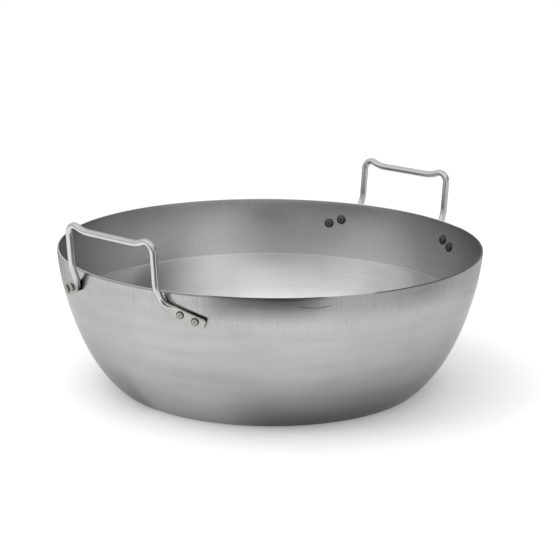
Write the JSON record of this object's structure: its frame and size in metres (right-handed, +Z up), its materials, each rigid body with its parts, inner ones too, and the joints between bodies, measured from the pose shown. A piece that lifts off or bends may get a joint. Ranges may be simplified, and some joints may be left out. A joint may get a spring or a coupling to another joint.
{
  "type": "deep frying pan",
  "caption": "Deep round frying bowl in bare steel with a flat base, curved flaring wall and plain cut rim, carried by riveted loop handles bent from round rod.",
  "frame": {"origin": "middle of the underside of the flat base", "axes": "+Z up along the axis of the bowl, +X through the middle of the right handle"},
  "size_m": [0.4206, 0.4, 0.1797],
  "materials": {
    "bowl_steel": "satin bare sheet steel with faint drawing marks",
    "handle_steel": "bright drawn rod, hammered flat at the ends",
    "rivet_steel": "dull peened steel"
  },
  "bodies": {
    "root": {"bowl": "bowl_steel", "handle_left": "handle_steel", "handle_right": "handle_steel", "rivet_left_front_1": "rivet_steel", "rivet_left_front_2": "rivet_steel", "rivet_left_back_1": "rivet_steel", "rivet_left_back_2": "rivet_steel", "rivet_right_front_1": "rivet_steel", "rivet_right_front_2": "rivet_steel", "rivet_right_back_1": "rivet_steel", "rivet_right_back_2": "rivet_steel"}
  },
  "joints": []
}
